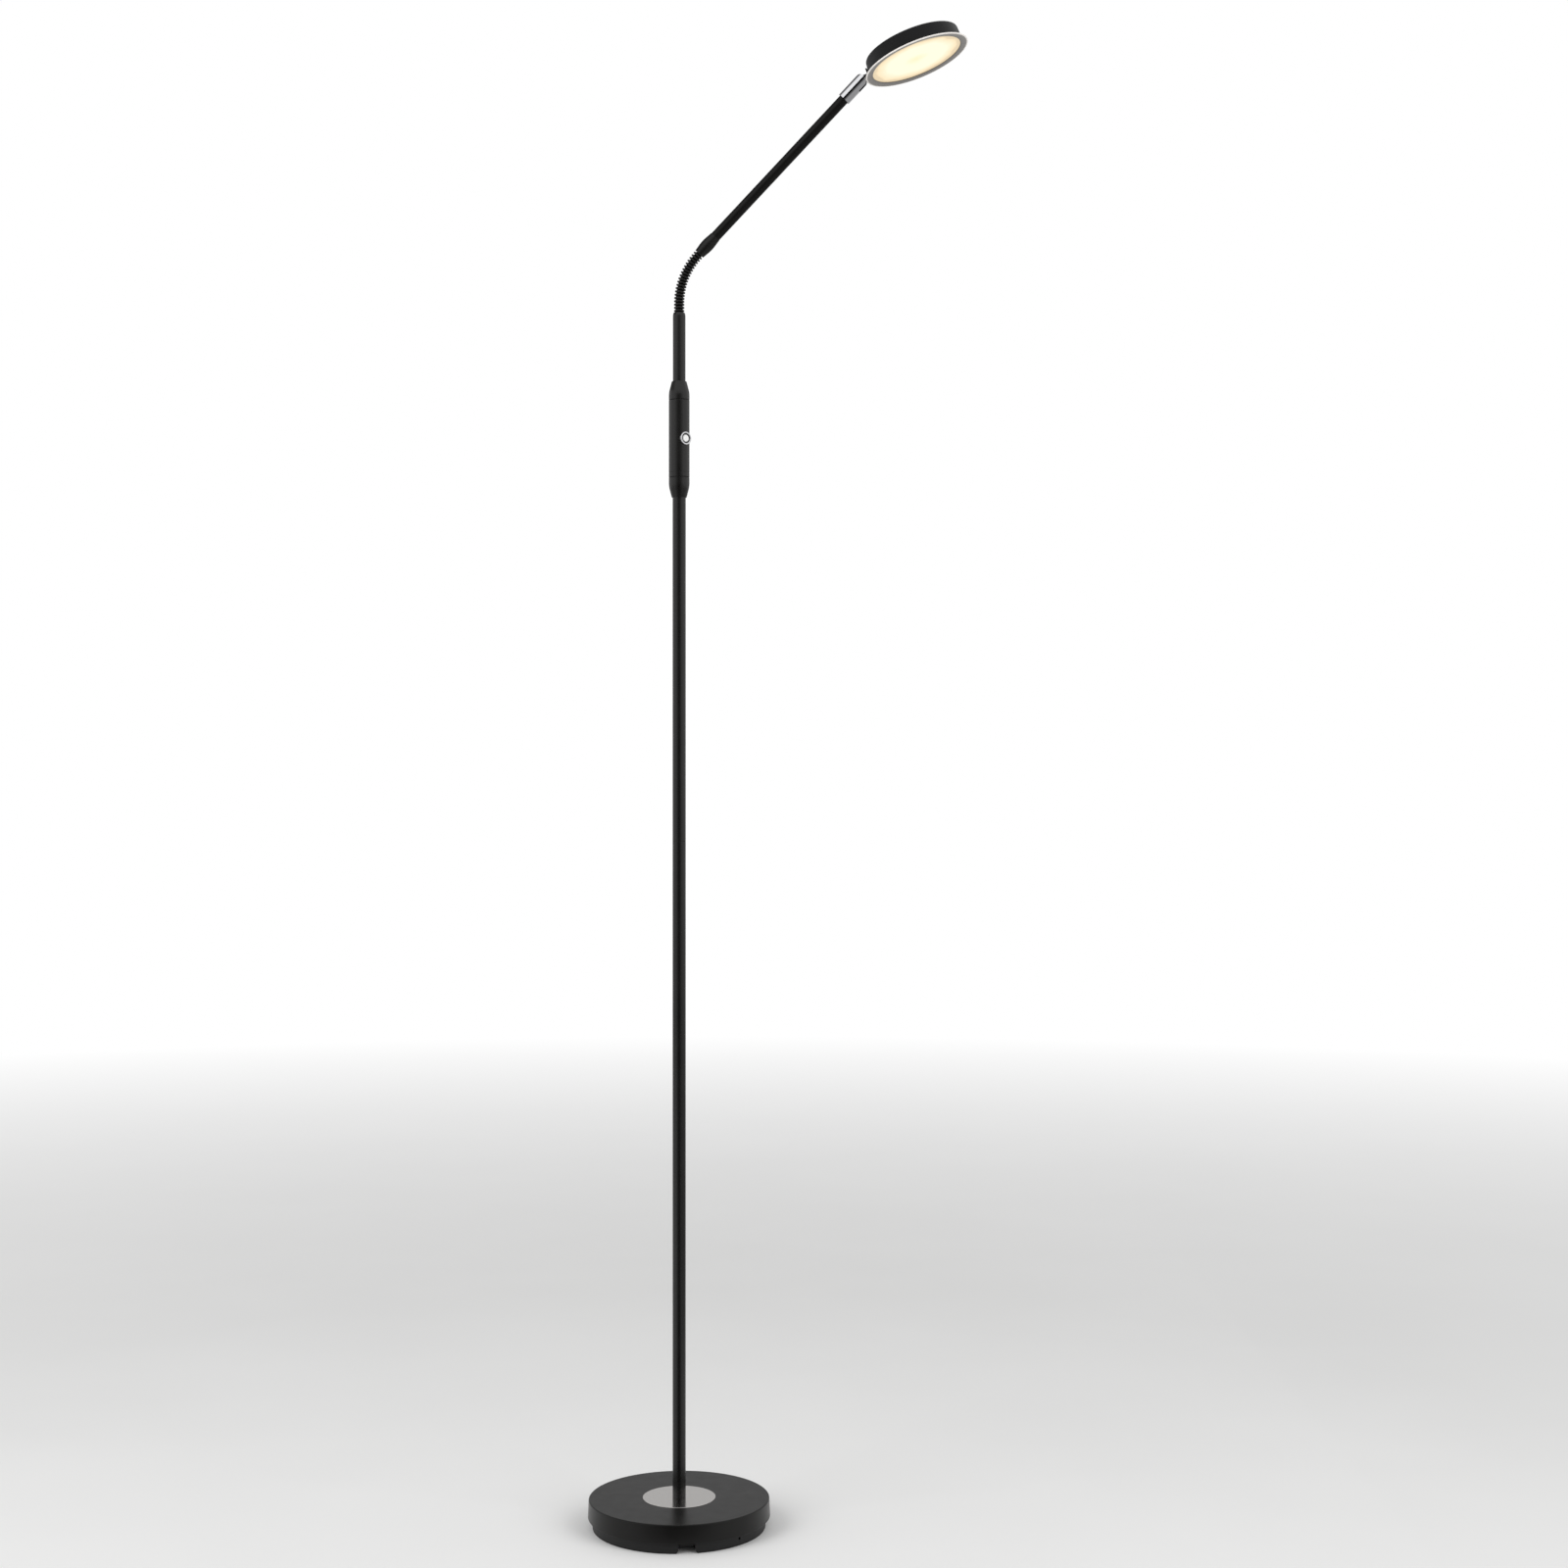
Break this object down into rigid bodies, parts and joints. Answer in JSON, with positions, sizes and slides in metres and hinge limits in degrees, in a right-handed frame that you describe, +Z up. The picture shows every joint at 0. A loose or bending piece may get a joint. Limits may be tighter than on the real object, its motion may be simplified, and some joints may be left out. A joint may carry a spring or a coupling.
{
  "type": "gooseneck reading floor lamp",
  "caption": "Slim floor reading lamp: round weighted base, pole with a push-button housing, short bending neck, straight arm and a flat round head that tilts on a chrome knuckle.",
  "frame": {"origin": "centre of the foot ring on the floor, under the pole", "axes": "+Z up along the pole, +X towards the side the arm leans to"},
  "size_m": [0.4184, 0.2, 1.6359],
  "materials": {
    "bronze_metal": "dark bronze satin lacquer",
    "bright_steel": "brushed",
    "chrome": "polished",
    "iron": "raw casting",
    "black_plastic": "matt",
    "rubber": "matt",
    "screw_steel": "zinc plated",
    "white_cap": "translucent white",
    "board": "circuit board green",
    "black_sleeve": "black satin",
    "washer_plastic": "natural nylon",
    "silver_rim": "satin silver",
    "black_shell": "black satin",
    "aluminium_plate": "plain",
    "led": "phosphor yellow",
    "white_plastic": "white",
    "opal": "opal"
  },
  "bodies": {
    "stand": {"base_cover": "bronze_metal", "base_disc": "bright_steel", "base_weight": "iron", "base_foot_ring": "black_plastic", "base_bottom_plate": "black_plastic", "base_screws": "screw_steel", "cord_grommet": "rubber", "foot_stud": "screw_steel", "foot_nut": "screw_steel", "foot_washer": "screw_steel", "pole_foot_insert": "screw_steel", "pole_lower": "bronze_metal", "pole_middle": "bronze_metal", "pole_upper": "bronze_metal", "pole_couplers": "screw_steel", "switch_lower_cone": "bronze_metal", "switch_body": "bronze_metal", "switch_upper_cone": "bronze_metal", "button_bezel": "chrome", "tact_switch": "black_plastic", "dimmer_board": "board", "upper_tube": "bronze_metal", "gooseneck_root": "bronze_metal"},
    "button": {"button_cap": "white_cap"},
    "link_01": {"gooseneck_link_01": "bronze_metal"},
    "link_02": {"gooseneck_link_02": "bronze_metal"},
    "link_03": {"gooseneck_link_03": "bronze_metal"},
    "link_04": {"gooseneck_link_04": "bronze_metal"},
    "link_05": {"gooseneck_link_05": "bronze_metal"},
    "link_06": {"gooseneck_link_06": "bronze_metal"},
    "link_07": {"gooseneck_link_07": "bronze_metal"},
    "link_08": {"gooseneck_link_08": "bronze_metal"},
    "link_09": {"gooseneck_link_09": "bronze_metal"},
    "link_10": {"gooseneck_link_10": "bronze_metal"},
    "link_11": {"gooseneck_link_11": "bronze_metal"},
    "link_12": {"gooseneck_link_12": "bronze_metal"},
    "link_13": {"gooseneck_link_13": "bronze_metal"},
    "link_14": {"gooseneck_link_14": "bronze_metal"},
    "link_15": {"gooseneck_link_15": "bronze_metal"},
    "link_16": {"gooseneck_link_16": "bronze_metal"},
    "link_17": {"gooseneck_link_17": "bronze_metal"},
    "link_18": {"gooseneck_link_18": "bronze_metal"},
    "link_19": {"gooseneck_link_19": "bronze_metal"},
    "link_20": {"gooseneck_link_20": "bronze_metal"},
    "arm": {"gooseneck_ferrule": "black_sleeve", "arm_tube": "bronze_metal", "knuckle_fork": "chrome", "hinge_screw": "screw_steel", "hinge_washers": "washer_plastic"},
    "head": {"rim_ring": "silver_rim", "head_drum": "black_shell", "led_plate": "aluminium_plate", "led_chips": "led", "reflector": "white_plastic", "diffuser": "opal", "plate_screws": "screw_steel", "head_bracket": "black_shell", "bracket_screws": "screw_steel"}
  },
  "joints": [
    {"name": "link_01_turn", "type": "hinge", "parent": "stand", "child": "link_01", "pos_m": [0, 0, 1.33575], "axis": [0, 1, 0], "range_deg": [-5.72, 4.29]},
    {"name": "link_02_turn", "type": "hinge", "parent": "stand", "child": "link_02", "pos_m": [0, 0, 1.33747], "axis": [0, 1, 0], "range_deg": [-11.43, 8.57]},
    {"name": "link_03_turn", "type": "hinge", "parent": "stand", "child": "link_03", "pos_m": [0, 0, 1.3392], "axis": [0, 1, 0], "range_deg": [-17.14, 12.86]},
    {"name": "link_04_turn", "type": "hinge", "parent": "stand", "child": "link_04", "pos_m": [0, 0, 1.34092], "axis": [0, 1, 0], "range_deg": [-22.86, 17.14]},
    {"name": "link_05_turn", "type": "hinge", "parent": "stand", "child": "link_05", "pos_m": [0.00003, 0, 1.34265], "axis": [0, 1, 0], "range_deg": [-28.57, 21.43]},
    {"name": "link_06_turn", "type": "hinge", "parent": "stand", "child": "link_06", "pos_m": [0.00011, 0, 1.34437], "axis": [0, 1, 0], "range_deg": [-34.29, 25.72]},
    {"name": "gooseneck_low_bend", "type": "hinge", "parent": "stand", "child": "link_07", "pos_m": [0.00023, 0, 1.34609], "axis": [0, 1, 0], "range_deg": [-40, 30]},
    {"name": "link_08_turn", "type": "hinge", "parent": "link_07", "child": "link_08", "pos_m": [0.00159, 0, 1.35979], "axis": [0.9482, 0, -0.3178], "range_deg": [-6.67, 6.67]},
    {"name": "link_09_turn", "type": "hinge", "parent": "link_07", "child": "link_09", "pos_m": [0.00198, 0, 1.36147], "axis": [0.9482, 0, -0.3178], "range_deg": [-13.33, 13.33]},
    {"name": "link_10_turn", "type": "hinge", "parent": "link_07", "child": "link_10", "pos_m": [0.00243, 0, 1.36313], "axis": [0.9482, 0, -0.3178], "range_deg": [-20, 20]},
    {"name": "link_11_turn", "type": "hinge", "parent": "link_07", "child": "link_11", "pos_m": [0.00293, 0, 1.36479], "axis": [0.9482, 0, -0.3178], "range_deg": [-26.67, 26.67]},
    {"name": "link_12_turn", "type": "hinge", "parent": "link_07", "child": "link_12", "pos_m": [0.00347, 0, 1.36642], "axis": [0.9482, 0, -0.3178], "range_deg": [-33.33, 33.33]},
    {"name": "gooseneck_sway", "type": "hinge", "parent": "link_07", "child": "link_13", "pos_m": [0.00407, 0, 1.36803], "axis": [0.9482, 0, -0.3178], "range_deg": [-40, 40]},
    {"name": "link_14_turn", "type": "hinge", "parent": "link_13", "child": "link_14", "pos_m": [0.0086, 0, 1.3792], "axis": [0, 1, 0], "range_deg": [-5, 3.75]},
    {"name": "link_15_turn", "type": "hinge", "parent": "link_13", "child": "link_15", "pos_m": [0.00944, 0, 1.38071], "axis": [0, 1, 0], "range_deg": [-10, 7.5]},
    {"name": "link_16_turn", "type": "hinge", "parent": "link_13", "child": "link_16", "pos_m": [0.01032, 0, 1.38219], "axis": [0, 1, 0], "range_deg": [-15, 11.25]},
    {"name": "link_17_turn", "type": "hinge", "parent": "link_13", "child": "link_17", "pos_m": [0.01125, 0, 1.38364], "axis": [0, 1, 0], "range_deg": [-20, 15]},
    {"name": "link_18_turn", "type": "hinge", "parent": "link_13", "child": "link_18", "pos_m": [0.01222, 0, 1.38506], "axis": [0, 1, 0], "range_deg": [-25, 18.75]},
    {"name": "link_19_turn", "type": "hinge", "parent": "link_13", "child": "link_19", "pos_m": [0.01324, 0, 1.38645], "axis": [0, 1, 0], "range_deg": [-30, 22.5]},
    {"name": "link_20_turn", "type": "hinge", "parent": "link_13", "child": "link_20", "pos_m": [0.0143, 0, 1.38781], "axis": [0, 1, 0], "range_deg": [-35, 26.25]},
    {"name": "gooseneck_top_bend", "type": "hinge", "parent": "link_13", "child": "arm", "pos_m": [0.0154, 0, 1.38913], "axis": [0, 1, 0], "range_deg": [-40, 30]},
    {"name": "head_tilt", "type": "hinge", "parent": "arm", "child": "head", "pos_m": [0.20107, 0, 1.57637], "axis": [0, 1, 0], "range_deg": [-60, 60]},
    {"name": "button_press", "type": "slide", "parent": "stand", "child": "button", "axis": [-0.7771, 0.6293, 0], "range_m": [0, 0.0012], "stiffness_N_per_m": 400, "springref_m": -0.002}
  ],
  "couplings": [
    {"joint": "link_01_turn", "follows": "gooseneck_low_bend", "ratio": 0.14286},
    {"joint": "link_02_turn", "follows": "gooseneck_low_bend", "ratio": 0.28571},
    {"joint": "link_03_turn", "follows": "gooseneck_low_bend", "ratio": 0.42857},
    {"joint": "link_04_turn", "follows": "gooseneck_low_bend", "ratio": 0.57143},
    {"joint": "link_05_turn", "follows": "gooseneck_low_bend", "ratio": 0.71429},
    {"joint": "link_06_turn", "follows": "gooseneck_low_bend", "ratio": 0.85714},
    {"joint": "link_08_turn", "follows": "gooseneck_sway", "ratio": 0.16667},
    {"joint": "link_09_turn", "follows": "gooseneck_sway", "ratio": 0.33333},
    {"joint": "link_10_turn", "follows": "gooseneck_sway", "ratio": 0.5},
    {"joint": "link_11_turn", "follows": "gooseneck_sway", "ratio": 0.66667},
    {"joint": "link_12_turn", "follows": "gooseneck_sway", "ratio": 0.83333},
    {"joint": "link_14_turn", "follows": "gooseneck_top_bend", "ratio": 0.125},
    {"joint": "link_15_turn", "follows": "gooseneck_top_bend", "ratio": 0.25},
    {"joint": "link_16_turn", "follows": "gooseneck_top_bend", "ratio": 0.375},
    {"joint": "link_17_turn", "follows": "gooseneck_top_bend", "ratio": 0.5},
    {"joint": "link_18_turn", "follows": "gooseneck_top_bend", "ratio": 0.625},
    {"joint": "link_19_turn", "follows": "gooseneck_top_bend", "ratio": 0.75},
    {"joint": "link_20_turn", "follows": "gooseneck_top_bend", "ratio": 0.875}
  ]
}
